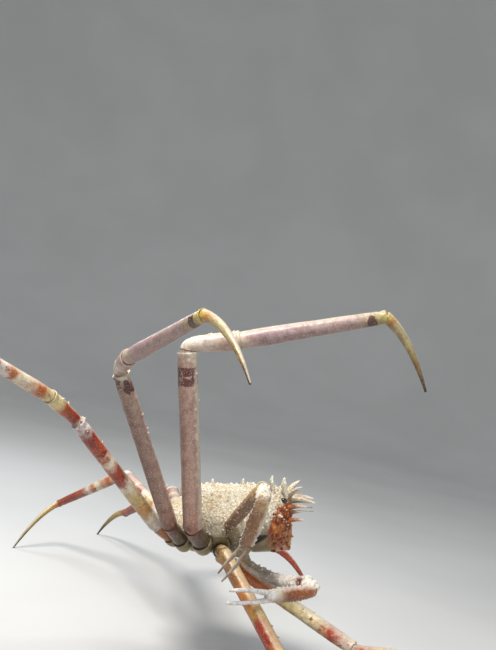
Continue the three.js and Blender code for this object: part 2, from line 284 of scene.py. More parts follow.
def srgb(code):
    values = [((code >> shift) & 255) / 255 for shift in (16, 8, 0)]
    return tuple(v / 12.92 if v <= 0.04045 else ((v + 0.055) / 1.055) ** 2.4 for v in values) + (1.0,)


COAT_ROUGHNESS = 0.25


class Nodes:
    """A material's node tree, with short calls for the nodes that it is made of."""

    def __init__(self, name, roughness=0.5, coat=0.0, sheen=0.0):
        self.material = bpy.data.materials.new(name)
        self.material.use_nodes = True
        self.tree = self.material.node_tree
        self.shader = self.tree.nodes["Principled BSDF"]
        self.shader.inputs["Roughness"].default_value = roughness
        self.shader.inputs["Coat Weight"].default_value = coat
        self.shader.inputs["Coat Roughness"].default_value = COAT_ROUGHNESS
        self.shader.inputs["Sheen Weight"].default_value = sheen

    def link(self, output, target):
        """Links another node's output, or sets a plain number or colour."""
        if hasattr(output, "is_output"):
            self.tree.links.new(output, target)
        else:
            target.default_value = output

    def node(self, kind, inputs=None, **settings):
        made = self.tree.nodes.new("ShaderNode" + kind)
        for key, value in settings.items():
            setattr(made, key, value)
        for socket, given in (inputs or {}).items():
            self.link(given, made.inputs[socket])
        return made

    def value(self, label):
        """One of the values that a skin keeps at each of its points."""
        return self.node("Attribute", attribute_name=label).outputs["Fac"]

    def place(self):
        return self.node("TexCoord").outputs["Object"]

    def math(self, operation, a, b=0.0, c=0.0):
        return self.node("Math", {0: a, 1: b, 2: c}, operation=operation).outputs[0]

    def noise(self, scale, detail=3.0, roughness=0.55, distortion=0.0):
        inputs = {"Scale": scale, "Detail": detail, "Roughness": roughness, "Distortion": distortion}
        return self.node("TexNoise", {"Vector": self.place(), **inputs}).outputs["Fac"]

    def cells(self, scale, feature="F1"):
        inputs = {"Vector": self.place(), "Scale": scale}
        return self.node("TexVoronoi", inputs, feature=feature).outputs["Distance"]

    def ramp(self, factor, stops, span=1):
        """A colour ramp; each stop is a place, from 0 to the span, and a colour code or a grey level."""
        made = self.node("ValToRGB")
        made.color_ramp.interpolation = "EASE"
        elements = made.color_ramp.elements
        while len(elements) < len(stops):
            elements.new(0.5)
        for element, (spot, colour) in zip(elements, sorted(stops.items())):
            element.position = spot / span
            element.color = srgb(colour) if isinstance(colour, int) else (colour, colour, colour, 1)
        self.link(factor, made.inputs["Fac"])
        return made.outputs["Color"]

    def mix(self, factor, a, b, blend="MIX"):
        a, b = (srgb(given) if isinstance(given, int) else given for given in (a, b))
        return self.node("Mix", {0: factor, 6: a, 7: b}, data_type="RGBA", blend_type=blend).outputs[2]

    def lay(self, colour, mask, strength, layer, blend="MIX"):
        """The colour, with a layer over it as far as the mask goes, at the given strength."""
        return self.mix(self.math("MULTIPLY", mask, strength), colour, layer, blend)

    def plus(self, a, b, share=1.0):
        """a and a share of b."""
        return self.math("ADD", a, self.math("MULTIPLY", b, share))

    def between(self, x, low, high):
        """0 below low, 1 above high, straight between."""
        inputs = {"Value": x, "From Min": low, "From Max": high}
        return self.node("MapRange", inputs, clamp=True).outputs["Result"]

    def finish(self, colour, height=None, distance=0.001, strength=0.5, roughness=None):
        """The material, with a bump of the given strength and distance in metres."""
        self.link(colour, self.shader.inputs["Base Color"])
        if roughness is not None:
            self.link(roughness, self.shader.inputs["Roughness"])
        if height is not None:
            bump = self.node("Bump", {"Strength": strength, "Distance": distance, "Height": height})
            self.link(bump.outputs["Normal"], self.shader.inputs["Normal"])
        return self.material


def limb_material(name, bands, patches, patch_colour, flecks=0.25, fleck_colour=0xB5562E, top=0xECE0CA):
    """The hard skin of a limb, with bands and patches by the place along it."""
    n = Nodes(name, roughness=0.42, coat=0.15)
    pieces = len(PIECES)

    # Bands of colour with wandering edges, and dark patches on them
    wander = n.math("MULTIPLY_ADD", n.noise(26, 3), 0.2, -0.1)
    fine_wander = n.math("MULTIPLY_ADD", n.noise(140, 2), 0.07, -0.035)
    along = n.math("ADD", n.math("ADD", n.value("along"), wander), fine_wander)
    colour = n.ramp(n.math("MULTIPLY", along, 1 / pieces), bands, pieces)
    patch_at = n.ramp(n.math("MULTIPLY", n.value("along"), 1 / pieces), patches, pieces)
    patch = n.between(n.plus(n.noise(48, 3, 0.55, 0.6), patch_at, 0.5), 0.9, 0.97)
    colour = n.lay(colour, patch, 0.9, patch_colour)

    # Mottling and flecks, then a painted highlight on the upper side and painted shade on the lower side
    colour = n.lay(colour, n.between(n.noise(62, 5, 0.65), 0.42, 0.66), 0.5, 0x94745E, "MULTIPLY")
    speck = n.between(n.noise(95, 2, 0.5), 0.645 - 0.1 * flecks, 0.72)
    colour = n.lay(colour, speck, flecks * 2, fleck_colour)
    # Painted highlight: the upper side takes the top colour, as if lit from above
    light = n.between(n.plus(n.value("over"), n.noise(80, 4, 0.6), 0.9), 0.95, 1.4)
    colour = n.lay(colour, light, 0.6, top)
    # Painted shade: the lower side darker
    colour = n.lay(colour, n.between(n.value("over"), 0.1, -0.9), 0.5, 0x826658, "MULTIPLY")

    # Grain, pale knobs and dark pits
    grain = n.noise(420, 4, 0.6)
    colour = n.lay(colour, n.between(grain, 0.45, 0.7), 0.35, 0x8A6A58, "MULTIPLY")
    pale_knob = n.between(n.cells(260), 0.28, 0.08)
    colour = n.lay(colour, pale_knob, 0.4, 0xFAF1E0)
    colour = n.lay(colour, n.value("tint"), 0.6, top)
    pits = n.between(n.cells(520), 0.2, 0.05)
    colour = n.lay(colour, pits, 0.45, 0x7A5540)
    height = n.plus(n.math("MULTIPLY", pale_knob, 0.8), grain, 0.6)
    height = n.math("SUBTRACT", height, n.math("MULTIPLY", pits, 0.7))
    return n.finish(colour, height, 0.0007, 0.6, n.math("MULTIPLY_ADD", grain, 0.3, 0.26))


def shell_material():
    n = Nodes("shell", roughness=0.6, coat=0.05)

    # Cream with brown spots, knobs and the seams between them
    colour = n.ramp(n.noise(16, 4), {0.3: 0xE6CC9E, 0.5: 0xF4E6C8, 0.7: 0xFBF4E2})
    colour = n.lay(colour, n.between(n.noise(110, 4, 0.7), 0.53, 0.63), 0.55, 0xB0854E)
    knob = n.between(n.cells(130), 0.42, 0.12)
    colour = n.lay(colour, knob, 0.55, 0xFFF6E2)
    seam = n.between(n.cells(130, "DISTANCE_TO_EDGE"), 0.09, 0.02)
    colour = n.lay(colour, seam, 0.4, 0x8A6438)

    # Painted shade in grey-olive low on the sides, and rust on the face
    side = n.between(n.plus(n.value("over"), n.noise(30, 3), 0.5), 0.42, 0.0)
    painted_low_side_shade = n.ramp(n.noise(50, 4), {0.35: 0x6E6A58, 0.65: 0xA39C84})
    colour = n.lay(colour, side, 0.85, painted_low_side_shade)
    rust = n.between(n.plus(n.noise(34, 4), n.value("along"), 0.6), 0.66, 0.9)
    rusty = n.ramp(n.noise(60, 4), {0.32: 0x5E2410, 0.44: 0x9C4218, 0.56: 0xC4702C, 0.7: 0xE2B070})
    colour = n.mix(rust, colour, rusty)
    colour = n.lay(colour, n.value("tint"), 0.8, 0xFFF8E8)

    grain = n.noise(500, 4, 0.6)
    height = n.plus(n.math("SUBTRACT", knob, seam), grain, 0.5)
    return n.finish(colour, height, 0.0014, 0.7, n.math("MULTIPLY_ADD", grain, 0.35, 0.38))


def underside_material():
    """The tint marks the orange face, and a negative place across marks a hollow, painted near black as
    shade.
    """
    n = Nodes("underside", roughness=0.35, coat=0.2)
    # Dull olive base: partly the underside's own colour, partly painted shade under the body
    colour = n.ramp(n.noise(18, 3), {0.3: 0x574E3A, 0.5: 0x7E7052, 0.72: 0xA8966E})
    yellow = n.between(n.noise(24, 3, 0.5, 0.5), 0.52, 0.66)
    colour = n.lay(colour, yellow, 0.5, 0xA0823A)
    rusty = n.ramp(n.noise(70, 4), {0.34: 0x4E2412, 0.46: 0x98491C, 0.58: 0xBE7434, 0.72: 0xB7A58C})
    colour = n.mix(n.value("tint"), colour, rusty)
    # Painted shade: the hollow before the claw's hip turns near black
    painted_hollow_shade = n.between(n.plus(n.value("over"), n.noise(60, 3), 0.4), 0.1, -0.35)
    colour = n.lay(colour, painted_hollow_shade, 0.96, 0x0A0604)
    grain = n.noise(300, 4, 0.6)
    colour = n.lay(colour, n.between(grain, 0.4, 0.7), 0.4, 0x6C6048, "MULTIPLY")
    return n.finish(colour, grain, 0.0008, 0.5, n.math("MULTIPLY_ADD", grain, 0.3, 0.2))


def mouth_material():
    n = Nodes("mouth", roughness=0.5)
    base = n.ramp(n.noise(40, 4), {0.3: 0x9C5A2C, 0.5: 0xCC8C50, 0.7: 0xE4C090})
    knob = n.between(n.cells(260), 0.4, 0.1)
    return n.finish(n.lay(base, knob, 0.5, 0xEFD9B0), knob, 0.0008, 0.5)


def membrane_material():
    n = Nodes("joint_skin", roughness=0.6, sheen=0.2)
    base = n.ramp(n.noise(70, 3), {0.3: 0x6E4A34, 0.55: 0x9C7250, 0.75: 0xC4A078})
    return n.finish(base, n.noise(260, 3), 0.0008, 0.5)


def eye_material():
    n = Nodes("eye", roughness=0.12, coat=0.6)
    colour = n.ramp(n.value("tint"), {0.45: 0xB58A5A, 0.6: 0x2A1A12, 0.8: 0x0C0907})
    return n.finish(colour, n.cells(1400), 0.0002, 0.2)


# Sweeps: a skin along a path, round at its start and flat, open like a cup or round at its end

SIDES = 56
RING_STEP = 0.0022
LUMP_SCALE = 26
GRAIN_SCALE = 160
FINE_GRAIN_SCALE = 380
CUP_LIP = 0.08
CUP_NECK = 0.05
CUP_STEP = 0.005

# The extra rings of each kind of end, as a shift along the path and a share of the radius
DOME = ((-0.46, 0.40), (-0.36, 0.66), (-0.22, 0.85), (-0.08, 0.96))
CUP = ((0.02, 0.96), (-0.05, 0.86), (-0.25, 0.74), (-0.45, 0.42))
KNOB_END = ((0.08, 0.96), (0.22, 0.85), (0.36, 0.66), (0.46, 0.40))


def curve(start, middle, end, count):
    """Points along the curve from start to end that heads for the middle point."""
    t = np.linspace(0, 1, count)[:, None]
    a, b, c = (np.array(k) for k in (start, middle, end))
    return (1 - t) ** 2 * a + 2 * t * (1 - t) * b + t * t * c


def bowed(start, end, bow=0.0, run_on=0.0, step=RING_STEP):
    """The same straight or bowed line as in the solids, as points."""
    middle = (start + end) / 2
    middle.z += 2 * bow * (end - start).length
    stop = end + (end - middle).normalized() * run_on
    return curve(start, middle, stop, max(8, int((stop - start).length / step)))


def sweep(skin, path, radii, along=(0.0, 1.0), flat=1.0, sides=SIDES, cup=False, knob=False,
          lump=0.02, grain=0.0003, seed=0.0, tint=0.0):
    """Gives the grid of points, the way out at each of them, and the place along the limb of each ring."""
    path = np.asarray(path)
    tangent, across, over = frames_along(path)
    value = np.linspace(along[0], along[1], len(path))
    radii = np.asarray(radii, float)
    if cup:
        run = np.linalg.norm(path - path[-1], axis=1)
        lip, neck = hump(run, 0.002, CUP_STEP), hump(run, 0.012, CUP_STEP)
        radii = radii * (1 + CUP_LIP * lip - CUP_NECK * neck)
    rows = [np.arange(len(path))]
    shifts, shares = [np.zeros(len(path))], [np.ones(len(path))]
    last = len(path) - 1
    for wanted, row, table in ((True, 0, DOME), (cup, last, CUP), (knob, last, KNOB_END)):
        if not wanted:
            continue
        extra = (np.full(len(table), row), *np.transpose(table))
        for pile, more in zip((rows, shifts, shares), extra):
            pile.insert(0 if row == 0 else len(pile), more)
    rows, shifts, shares = (np.concatenate(pile) for pile in (rows, shifts, shares))
    centre = path[rows] + tangent[rows] * (shifts * radii[rows])[:, None]
    reach = radii[rows] * shares
    angle = 2 * np.pi * np.arange(sides) / sides
    out = (np.cos(angle)[None, :, None] * across[rows][:, None, :] * flat
           + np.sin(angle)[None, :, None] * over[rows][:, None, :])
    grid = centre[:, None, :] + out * reach[:, None, None]
    spots = grid.reshape(-1, 3)
    swell = lump * rough(spots, LUMP_SCALE, seed) * np.repeat(reach, sides)
    swell += grain * (rough(spots, GRAIN_SCALE, seed + 3) + 0.7 * rough(spots, FINE_GRAIN_SCALE, seed + 7))
    grid += out * swell.reshape(len(rows), sides, 1)
    place = np.append(np.repeat(value[rows], sides), (along[0], along[1]))
    side = np.append(np.tile(np.sin(angle), len(rows)), (0, 0))
    mark = tint
    if np.ndim(tint):
        mark = np.append(np.repeat(np.asarray(tint)[rows], sides), (0, 0))
    skin.add(close_grid(grid), grid_faces(len(rows), sides), place, side, mark)
    return grid, out, value[rows]


def stand(skin):
    """Nothing of a foot reaches under the floor."""
    for points in skin.points:
        points[:, 2] = np.maximum(points[:, 2], 0.0)


def granules(skin, laid, count, size, tall=0.8, rows=(0.06, 0.94), over=None, tilt=0.0, shape=GRANULE):
    """Small knobs scattered over a sweep between two shares of its length, on all of it or round one
    side, given with its spread in turns, a quarter turn being the upper side."""
    grid, out, value = laid
    n, sides = grid.shape[:2]
    i = RNG.integers(int(rows[0] * n), int(rows[1] * n), count)
    if over is None:
        j = RNG.integers(0, sides, count)
    else:
        j = (sides * (over[0] + over[1] * RNG.normal(0, 1, count))).astype(int) % sides
    ahead = unit(grid[np.minimum(i + 2, n - 1), j] - grid[np.maximum(i - 2, 0), j])
    ways = unit(out[i, j]) + tilt * ahead
    scale = size * RNG.uniform(0.55, 1.25, count)
    side = np.sin(2 * np.pi * j / sides)
    height = scale * tall * RNG.uniform(0.7, 1.3, count)
    set_cones(skin, shape, grid[i, j], ways, scale, height, value[i], side)


# The radius along each piece of a leg, as shares of the merus's
LEG_RADII = {
    "ischium": (0.86, 0.9, 0.92, 0.86),
    "merus": (0.97, 1, 1, 1, 1, 1.02, 0.97),
    "carpus": (0.8, 0.78, 0.84, 0.93, 0.98, 0.92),
    "propodus": (0.84, 0.92, 0.88, 0.83, 0.79, 0.74, 0.68),
    "dactylus": (0.6, 0.54, 0.46, 0.37, 0.26, 0.13),
}

# A standing leg's tip runs on below the floor, and stand() then makes it a flat foot
FOOT_RUN_ON = 0.007

# The knee's neck, as steps along the upper leg and along the shin, in shares of the leg's radius
KNEE_STEPS = ((-0.6, 0.0), (0.05, 0.0), (0.46, 0.2), (0.6, 0.95), (0.45, 2.1))


def knee_path(joint, before, after, end, radius):
    """The curved neck of a knee: out of the cup along the upper leg, then over to the shin."""
    knots = [joint + before * (up * radius) + after * (on * radius) for up, on in KNEE_STEPS]
    knots.append(end)
    return smooth_path(knots, int((end - joint).length / RING_STEP) + 8)


def leg_skin(kind, side, piece, index, points, ways):
    skin = Skin()
    radius = MERUS_RADIUS[kind]
    start, end = points[index], points[index + 1]
    standing = piece == "dactylus" and end.z < 0.001
    seed = 7.0 * index + sum(map(ord, kind + side))
    span = (index + 0.0, index + 1.0)
    if piece == "carpus":
        path = knee_path(start, ways[1], ways[2], end, radius)
    elif piece == "dactylus":
        path = bowed(start, end, DACTYLUS_BOW, FOOT_RUN_ON if standing else 0)
    else:
        path = bowed(start, end)
    radii = np.maximum(TIP_RADIUS, radius * shares_along(LEG_RADII[piece], path))
    if piece == "dactylus":
        laid = sweep(skin, path, radii, span, lump=0.012, grain=0.0002, seed=seed)
        granules(skin, laid, 70, 0.0008, rows=(0.1, 0.8))
    else:
        laid = sweep(skin, path, radii, span, cup=True, lump=0.03, seed=seed)
        granules(skin, laid, int(0.5 * len(path)), 0.0011, 0.5)
    if piece == "carpus":
        granules(skin, laid, 3, 0.0034, 1.4, rows=(0.35, 0.9), over=(0.25, 0.08), tilt=0.4, shape=SPINE)
    if piece == "merus":
        granules(skin, laid, 9, 0.0024, 1.3, rows=(0.5, 0.98), over=(0.25, 0.1), tilt=0.6, shape=SPINE)
        granules(skin, laid, 6, 0.0026, 1.5, rows=(0.965, 0.985), over=(0.25, 0.16), tilt=0.9, shape=SPINE)
    if standing:
        stand(skin)
    return skin


# The soft skin that shows in each joint, from the hip out. Sizes are shares of the limb's radius.
JOINT_RADII = (0.74, 0.72, 0.66, 0.5)
JOINT_REACH = 0.55
JOINT_RINGS = 14


def joint_skin(points, ways, radius, count):
    skin = Skin()
    reach = radius * JOINT_REACH
    for index, share in enumerate(JOINT_RADII[:count], 1):
        joint = points[index]
        knots = [joint - ways[index - 1] * reach, joint, joint + ways[index] * reach]
        path = smooth_path(knots, JOINT_RINGS)
        folds = 1 + 0.05 * np.sin(np.linspace(0, 5 * np.pi, len(path)))
        sweep(skin, path, radius * share * folds, sides=28, lump=0.03)
    return skin


# Claws. Radii are shares of the arm's radius, and the fingers spread by an angle in degrees.

CLAW_STEP = 0.0018
CLAW_GRANULES = {"ischium": 70, "merus": 150, "carpus": 70}
CLAW_RADII = {
    "ischium": (1, 1, 1.02, 0.94),
    "merus": (0.86, 0.94, 0.98, 1, 1.02, 0.94),
    "carpus": (0.82, 1.04, 1.1, 0.96),
    "palm": (0.9, 1.08, 1.12, 1.06, 0.84),
}
ARM_BOW = {"R": 0.0, "L": -0.075}
FINGER_RADIUS = 0.0062
FINGER_TIP = 0.0012
FINGER_RINGS = 60
FINGER_SPREAD = {"R": 2, "L": 3.5}
FINGER_TAPER = {"R": 0.72, "L": 0.5}
FINGER_RUN_ON = {"R": 0.0, "L": 0.012}
FINGER_OFFSET = 0.0066
FINGER_SINK = 0.014


def finger(skin, side, joint, grip, over, up, sink, span):
    """The upper finger where up is 1, and the lower one, on the hand, where it is -1."""
    length = LENGTHS["cheliped"][4] + FINGER_RUN_ON[side]
    spread = math.radians(FINGER_SPREAD[side]) * up
    way = (grip + over * math.tan(spread)).normalized()
    root = joint + over * (up * FINGER_OFFSET) - grip * sink
    tip = joint + over * (up * FINGER_OFFSET) + way * length
    middle = root.lerp(tip, 0.55) + over * (up * length * 0.05)
    path = curve(root, middle, tip, FINGER_RINGS)
    t = np.linspace(0, 1, FINGER_RINGS)
    radii = np.maximum(FINGER_TIP, FINGER_RADIUS * (1 - FINGER_TAPER[side] * t))
    laid = sweep(skin, path, radii, span, sides=32, lump=0.02, grain=0.0002)
    teeth_side = 0.75 if up > 0 else 0.25
    granules(skin, laid, 26, 0.0011, 0.9, rows=(0.15, 0.95), over=(teeth_side, 0.02))


def claw_skins(side, points, ways):
    skins = {}
    radius = MERUS_RADIUS["cheliped"]
    for index, piece in enumerate(PIECES[:3]):
        skin = Skin()
        bow = ARM_BOW[side] if piece == "merus" else 0.0
        path = bowed(points[index], points[index + 1], bow, step=CLAW_STEP)
        radii = radius * shares_along(CLAW_RADII[piece], path)
        wrist = piece == "carpus"
        laid = sweep(skin, path, radii, (index, index + 1), cup=not wrist, knob=wrist, lump=0.05,
                     grain=0.0005, seed=index * 5)
        granules(skin, laid, CLAW_GRANULES[piece], 0.0021, 0.85)
        granules(skin, laid, 12, 0.003, 1.5, rows=(0.1, 0.97), over=(0.25, 0.06), tilt=0.4, shape=SPINE)
        if wrist and side == "L":
            granules(skin, laid, 12, 0.0085, 0.8, rows=(0.05, 0.9), over=(0.25, 0.13))
        skins[piece] = skin
    grip = ways[4]
    across = Vector((0, 0, 1)).cross(grip).normalized()
    over = grip.cross(across)
    palm = Skin()
    path = bowed(points[3], points[4], step=CLAW_STEP)
    radii = radius * shares_along(CLAW_RADII["palm"], path)
    laid = sweep(palm, path, radii, (3, 4), flat=0.8, knob=True, lump=0.04, grain=0.0005, seed=31)
    for edge in (0.25, 0.75):
        granules(palm, laid, 60, 0.0026, 1.0, over=(edge, 0.03))
    granules(palm, laid, 90, 0.0012, 0.7)
    finger(palm, side, points[4], grip, over, -1, FINGER_SINK, (4, 4.9))
    skins["propodus"] = palm
    skins["dactylus"] = Skin()
    finger(skins["dactylus"], side, points[4], grip, over, 1, 0.004, (4.1, 5))
    return skins


# The body: shell, underside, tail flap and face

SHELL_ROWS = 190
SHELL_COLUMNS = 210
UNDER_COLUMNS = 12
EDGE_POWER = 0.88
DOME_POWER = 0.92

# Raised regions of the shell: along, half way across, length, width, height
REGIONS = (
    (0.046, 0.0, 0.040, 0.034, 0.009),
    (-0.040, 0.0, 0.028, 0.026, 0.008),
    (-0.104, 0.0, 0.018, 0.022, 0.005),
    (-0.020, 0.072, 0.055, 0.030, 0.008),
    (-0.080, 0.060, 0.030, 0.026, 0.005),
    (0.075, 0.066, 0.022, 0.018, 0.006),
    (0.100, 0.020, 0.020, 0.014, 0.005),
)

# The fine bumps of the shell: height, scale and seed. The skin is set in, so that they stay near the solid.
SHELL_BUMPS = ((0.0026, 42, 2), (0.0014, 100, 5), (0.0005, 300, 9))
SHELL_SETTLE = 0.005
TUBERCLES = 620


def half_width(s):
    rear = np.where(s < 0, np.sqrt(1 - np.abs(np.minimum(s, 0)) ** 2.6), 1)
    front = np.where(s > 0, np.sqrt(1 - np.maximum(s, 0) ** 7) * (1 - 0.42 * s * s), 1)
    return SHELL_HALF_WIDTH * rear * front


def rear_fall(s):
    return np.cos(np.pi / 2 * np.maximum(0, (-s - 0.35) / 0.65))


def body_section(s):
    """Half width, top, bottom and widest level of the body at s, from -1 at its rear to 1."""
    top = SHELL_TOP * rear_fall(s) * np.where(s > 0.8, 1 - 2.6 * (s - 0.8) ** 2, 1)
    bottom = SHELL_BOTTOM * rear_fall(s) ** 0.8 - 0.004
    return half_width(s), top, bottom, bottom + (top - bottom) * WIDEST_LEVEL


def body_rings(rows):
    s = -0.995 * np.cos(np.pi * np.arange(rows) / (rows - 1))
    return s, *body_section(s)


def limb_axes():
    axes = []
    for kind in HIPS:
        for side in SIGNS:
            points = limb_joints(kind, side)[0]
            for a, b in ((0, 1), (1, 2)):
                axes.append((np.array(points[a]), np.array(points[b]), MERUS_RADIUS[kind] * 1.02))
    return axes


BODY_CENTRE = np.array(body_point(0, 0, 0))
BODY_TURN = np.array([body_point(*k) - body_point(0, 0, 0) for k in np.eye(3)])


def to_whole(points):
    """Points of the body's own frame, in the frame of the whole crab."""
    return np.asarray(points) @ BODY_TURN + BODY_CENTRE


def clear_of_limbs(points):
    """Presses the body in where a limb leaves it."""
    inward = np.array(body_point(0, 0, 0.01)) - points
    inward[:, 0] *= 0.2
    inward = unit(inward)
    for a, b, radius in limb_axes():
        along = b - a
        t = np.clip(((points - a) @ along) / (along @ along), 0, 1)
        gap = np.linalg.norm(points - a - t[:, None] * along, axis=1)
        points += inward * (np.maximum(0, radius - gap) * 1.2)[:, None]
    return points


def shell_surface():
    s, half, top, bottom, middle = body_rings(SHELL_ROWS)
    depth = np.clip((middle - SHELL_SPLIT) / (middle - bottom), 0, 1)
    low = -np.arcsin(depth ** (1 / DOME_POWER))
    angle = low[:, None] + (np.pi - 2 * low)[:, None] * np.linspace(0, 1, SHELL_COLUMNS)[None, :]
    c, n = np.cos(angle), np.sin(angle)
    y = np.sign(c) * np.abs(c) ** EDGE_POWER * half[:, None]
    reach = np.where(n > 0, (top - middle)[:, None], (bottom - middle)[:, None])
    z = middle[:, None] + reach * np.abs(n) ** DOME_POWER
    x = np.repeat(s[:, None] * SHELL_HALF_LENGTH, SHELL_COLUMNS, 1)
    up = np.clip(n, 0, 1)
    z -= SHELL_SETTLE * up
    for along, across, length, width, height in REGIONS:
        z += up * height * hump(x, along, length) * hump(np.abs(y), across, width)
    # A groove on each side of the middle
    z -= 0.004 * up * hump(np.abs(y), 0.036, 0.008) * hump(x, 0.0, 0.09)
    return np.stack([x, y, z], 2), n


def outward(grid):
    """The way out at each point of a grid."""
    a, b = np.gradient(grid, axis=0), np.gradient(grid, axis=1)
    normal = np.cross(b, a)
    normal /= np.maximum(1e-9, np.linalg.norm(normal, axis=2))[:, :, None]
    facing = (normal * (grid - grid.mean((0, 1)))).sum()
    return normal if facing > 0 else -normal


def face_share(points):
    """How far each of the points lies in the orange face."""
    x, _, z = np.transpose(points)
    return np.clip((x - 0.084 - 0.45 * np.maximum(0, z)) / 0.035, 0, 1) * np.clip((0.07 - z) / 0.04, 0, 1)


def carapace_skin():
    skin = Skin()
    grid, over = shell_surface()
    normal = outward(grid)
    flat_grid = grid.reshape(-1, 3)
    bumps = sum(height * rough(flat_grid, scale, seed) for height, scale, seed in SHELL_BUMPS)
    grid = grid + normal * bumps.reshape(SHELL_ROWS, SHELL_COLUMNS, 1)
    rim_a, rim_b = grid[:, -1], grid[:, 0]
    t = np.linspace(0, 1, UNDER_COLUMNS + 2)[1:-1]
    chord = rim_a[:, None, :] * (1 - t)[None, :, None] + rim_b[:, None, :] * t[None, :, None]
    chord[:, :, 2] += 0.006
    ring = np.concatenate([grid, chord], 1)
    columns = SHELL_COLUMNS + UNDER_COLUMNS
    points = clear_of_limbs(to_whole(close_grid(ring)))
    body = close_grid(ring)
    side = np.append(np.concatenate([over, np.full((SHELL_ROWS, UNDER_COLUMNS), -1.0)], 1).ravel(), (0, 0))
    skin.add(points, grid_faces(SHELL_ROWS, columns), face_share(body), side, 0)
    ends = np.sin(np.linspace(0.05, np.pi - 0.05, SHELL_ROWS)).repeat(SHELL_COLUMNS)
    weight = np.clip(grid[:, :, 2] + 0.03, 0.004, 0.05).ravel() * ends
    chosen = RNG.choice(len(weight), TUBERCLES, replace=False, p=weight / weight.sum())
    bases, ways = grid.reshape(-1, 3)[chosen], normal.reshape(-1, 3)[chosen]
    region = sum(hump(bases[:, 0], along, length) * hump(np.abs(bases[:, 1]), across, width)
                 for along, across, length, width, _ in REGIONS)
    size = RNG.uniform(0.0018, 0.0046, TUBERCLES) * (0.8 + 0.5 * np.clip(region, 0, 1))
    whole = clear_of_limbs(to_whole(bases))
    set_cones(skin, GRANULE, whole, ways @ BODY_TURN, size, size * RNG.uniform(0.7, 1.5, TUBERCLES),
              face_share(bases), np.abs(over.reshape(-1)[chosen]))
    return skin


# The two horns of the snout and the larger spines, as root, tip and root radius for each side
SIDE_SPINES = (
    ((0.138, 0.013, 0.047), (0.207, 0.029, 0.044), 0.0080),
    ((0.137, 0.030, 0.058), (0.139, 0.036, 0.093), 0.0085),
    ((0.144, 0.025, 0.058), (0.175, 0.050, 0.084), 0.0065),
    ((0.142, 0.034, 0.034), (0.186, 0.052, 0.039), 0.0060),
    ((0.142, 0.040, 0.006), (0.181, 0.056, 0.009), 0.0055),
    ((0.108, 0.038, 0.068), (0.111, 0.046, 0.096), 0.0065),
    ((0.112, 0.062, 0.020), (0.130, 0.092, 0.024), 0.0060),
    ((0.076, 0.092, 0.020), (0.088, 0.122, 0.028), 0.0065),
    ((0.036, 0.112, 0.022), (0.040, 0.140, 0.034), 0.0065),
)

# The three spines on the middle line: where they stand along it, their root's and tip's level, and radius
MIDDLE_SPINES = (-0.096, -0.030, 0.040)
MIDDLE_ROOT = 0.058
MIDDLE_TIP = 0.096
MIDDLE_LEAN = 0.003
MIDDLE_RADIUS = 0.008
SPINE_RINGS = 30


def spine(skin, root, tip, radius, seed):
    root, tip = Vector(root), Vector(tip)
    across = (tip - root).cross(Vector((0, 1, 0))).normalized()
    middle = root.lerp(tip, 0.5) + across * (0.06 * (tip - root).length)
    path = to_whole(smooth_path([root, middle, tip], SPINE_RINGS))
    t = np.linspace(0, 1, len(path))
    radii = radius * (1.08 - 0.72 * t ** 1.3) * np.sqrt(np.clip(1.004 - t ** 9, 0.02, 1))
    face = float(face_share(root))
    sweep(skin, path, radii, (face, face * 0.4), sides=20, lump=0.05, grain=0.0004, seed=seed, tint=t * t)


def spines_skin():
    skin = Skin()
    for k, (root, tip, radius) in enumerate(SIDE_SPINES):
        for y in (1, -1):
            spine(skin, (root[0], y * root[1], root[2]), (tip[0], y * tip[1], tip[2]), radius, k + y)
    for k, x in enumerate(MIDDLE_SPINES):
        spine(skin, (x, 0, MIDDLE_ROOT), (x + MIDDLE_LEAN, 0, MIDDLE_TIP), MIDDLE_RADIUS, 40 + k)
    return skin


# How lit the underside is taken to be, apart from the hollow before the claw's hip
OPEN_AIR = 0.4

UNDER_ROWS = 110
UNDER_SIDES = 120
UNDER_CLOSING = 8
UNDER_INSET = 0.965
FACE_LUMPS = 260
FACE_FRONT = 0.1485

# The hollow, painted near black as shade: its middle along the body and its level there, its half sizes,
# slope and depth
HOLLOW = (0.066, -0.028)
HOLLOW_SIZE = (0.034, 0.010)
HOLLOW_SLOPE = 0.35
HOLLOW_DEPTH = 0.14


def face_lumps(skin):
    """Rough knobs over the sides of the face, and over its front above the mouth plates."""
    count = FACE_LUMPS
    x = RNG.uniform(0.106, FACE_FRONT, count)
    z = RNG.uniform(-0.062, 0.036, count)
    half, top, bottom, middle = body_section(x / SHELL_HALF_LENGTH)
    depth = np.clip((z - middle) / (np.where(z > middle, top, bottom) - middle), 0, 1)
    side = np.where(RNG.uniform(size=count) < 0.5, -1, 1)
    y = side * half * UNDER_INSET * (1 - depth ** (2 / DOME_POWER)) ** (EDGE_POWER / 2)
    front = RNG.uniform(size=count) < 0.35
    x = np.where(front, FACE_FRONT, x)
    y = np.where(front, RNG.uniform(-0.017, 0.017, count), y)
    z = np.where(front, np.maximum(z, RNG.uniform(0.010, 0.036, count)), z)
    ways = np.stack([np.where(front, 3.0, 0.25), side, 0.3 * RNG.normal(size=count)], 1)
    size = RNG.uniform(0.0022, 0.0052, count)
    set_cones(skin, GRANULE, to_whole(np.stack([x, y, z], 1)), ways @ BODY_TURN, size,
              size * RNG.uniform(0.8, 1.6, count), 1.0, OPEN_AIR, 1.0)


